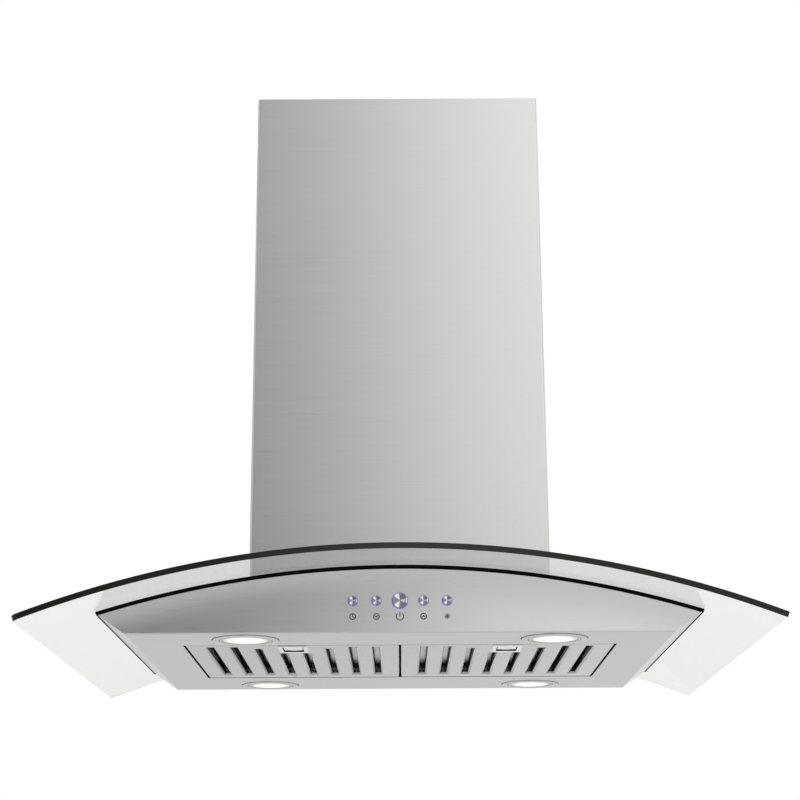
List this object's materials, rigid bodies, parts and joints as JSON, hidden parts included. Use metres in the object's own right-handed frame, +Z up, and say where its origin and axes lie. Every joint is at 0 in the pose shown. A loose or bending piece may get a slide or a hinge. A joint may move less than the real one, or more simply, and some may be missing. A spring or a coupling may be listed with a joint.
{
  "type": "curved glass range hood",
  "caption": "Ceiling-hung range hood: arched clear glass canopy over a shallow steel body with baffle filters, round lamps and push buttons, under a rectangular telescopic chimney.",
  "frame": {"origin": "middle of the ceiling plate's top face, where the hood hangs from the ceiling", "axes": "+Z up, -Y towards the front panel with the buttons, +X to the right seen from the front"},
  "size_m": [0.7544, 0.61, 0.6392],
  "materials": {
    "stainless": "horizontal brushed",
    "galvanised": "zinc coated sheet",
    "glass": "clear, polished edges",
    "seal": "matt black",
    "screw": "bright zinc",
    "dark_plastic": "moulded",
    "grey_plastic": "moulded",
    "blower_wheel": "plain sheet",
    "motor_paint": "satin black",
    "lens": "frosted, lit",
    "light_ring": "clear, lit violet-blue",
    "board": "solder mask",
    "spun_metal": "spun face",
    "bright_metal": "bright pressed steel",
    "spring_steel": "plain"
  },
  "bodies": {
    "ceiling": {"ceiling_plate": "galvanised", "upper_cover_front": "stainless", "upper_cover_rear": "stainless", "upper_angle_front_left": "galvanised", "upper_angle_front_right": "galvanised", "upper_angle_rear_left": "galvanised", "upper_angle_rear_right": "galvanised"},
    "hood": {"body_top": "stainless", "body_wrap": "stainless", "cable_gland": "grey_plastic", "control_board": "board", "control_cover": "dark_plastic", "filter_guides": "stainless", "frame_bolts": "screw", "glass_canopy": "glass", "glass_seal": "seal", "lamp_bezels": "stainless", "lamp_bodies": "galvanised", "lamp_lenses": "lens", "light_guide": "light_ring", "lower_angle_front_left": "galvanised", "lower_angle_front_right": "galvanised", "lower_angle_rear_left": "galvanised", "lower_angle_rear_right": "galvanised", "lower_cover_front": "stainless", "lower_cover_rear": "stainless", "motor": "motor_paint", "motor_box": "galvanised", "outlet_collar": "dark_plastic", "scroll_housing": "galvanised", "side_panel_left": "stainless", "side_panel_right": "stainless", "wiring_box": "dark_plastic"},
    "impeller": {"impeller": "blower_wheel"},
    "damper_front": {"damper_flap_front": "dark_plastic"},
    "damper_rear": {"damper_flap_rear": "dark_plastic"},
    "button_timer": {"button_timer": "spun_metal"},
    "button_slower": {"button_slower": "spun_metal"},
    "button_power": {"button_power": "spun_metal"},
    "button_faster": {"button_faster": "spun_metal"},
    "button_light": {"button_light": "spun_metal"},
    "filter_left": {"filter_left_face": "stainless", "filter_left_baffles": "stainless", "latch_left_plate": "bright_metal", "latch_left_spring": "spring_steel"},
    "latch_left": {"latch_left_slide": "bright_metal"},
    "filter_right": {"filter_right_face": "stainless", "filter_right_baffles": "stainless", "latch_right_plate": "bright_metal", "latch_right_spring": "spring_steel"},
    "latch_right": {"latch_right_slide": "bright_metal"}
  },
  "joints": [
    {"name": "height_slide", "type": "slide", "parent": "ceiling", "child": "hood", "axis": [0, 0, -1], "range_m": [0, 0.35]},
    {"name": "impeller_spin", "type": "hinge", "parent": "hood", "child": "impeller", "pos_m": [0, -0.026, -0.465], "axis": [1, 0, 0], "continuous": true},
    {"name": "damper_front_hinge", "type": "hinge", "parent": "hood", "child": "damper_front", "pos_m": [0, -0.003, -0.32794], "axis": [-1, 0, 0], "range_deg": [0, 75]},
    {"name": "damper_rear_hinge", "type": "hinge", "parent": "hood", "child": "damper_rear", "pos_m": [0, 0.003, -0.32794], "axis": [1, 0, 0], "range_deg": [0, 75]},
    {"name": "button_timer_press", "type": "slide", "parent": "hood", "child": "button_timer", "axis": [0, 1, 0], "range_m": [0, 0.0015], "stiffness_N_per_m": 500, "springref_m": -0.001},
    {"name": "button_slower_press", "type": "slide", "parent": "hood", "child": "button_slower", "axis": [0, 1, 0], "range_m": [0, 0.0015], "stiffness_N_per_m": 500, "springref_m": -0.001},
    {"name": "button_power_press", "type": "slide", "parent": "hood", "child": "button_power", "axis": [0, 1, 0], "range_m": [0, 0.0015], "stiffness_N_per_m": 500, "springref_m": -0.001},
    {"name": "button_faster_press", "type": "slide", "parent": "hood", "child": "button_faster", "axis": [0, 1, 0], "range_m": [0, 0.0015], "stiffness_N_per_m": 500, "springref_m": -0.001},
    {"name": "button_light_press", "type": "slide", "parent": "hood", "child": "button_light", "axis": [0, 1, 0], "range_m": [0, 0.0015], "stiffness_N_per_m": 500, "springref_m": -0.001},
    {"name": "filter_left_hinge", "type": "hinge", "parent": "hood", "child": "filter_left", "pos_m": [-0.114, 0.111, -0.6365], "axis": [1, 0, 0], "range_deg": [0, 70]},
    {"name": "latch_left_slide", "type": "slide", "parent": "filter_left", "child": "latch_left", "axis": [0, 1, 0], "range_m": [0, 0.008], "stiffness_N_per_m": 200, "springref_m": -0.004, "deforming": ["latch_left_spring"]},
    {"name": "filter_right_hinge", "type": "hinge", "parent": "hood", "child": "filter_right", "pos_m": [0.114, 0.111, -0.6365], "axis": [1, 0, 0], "range_deg": [0, 70]},
    {"name": "latch_right_slide", "type": "slide", "parent": "filter_right", "child": "latch_right", "axis": [0, 1, 0], "range_m": [0, 0.008], "stiffness_N_per_m": 200, "springref_m": -0.004, "deforming": ["latch_right_spring"]}
  ]
}
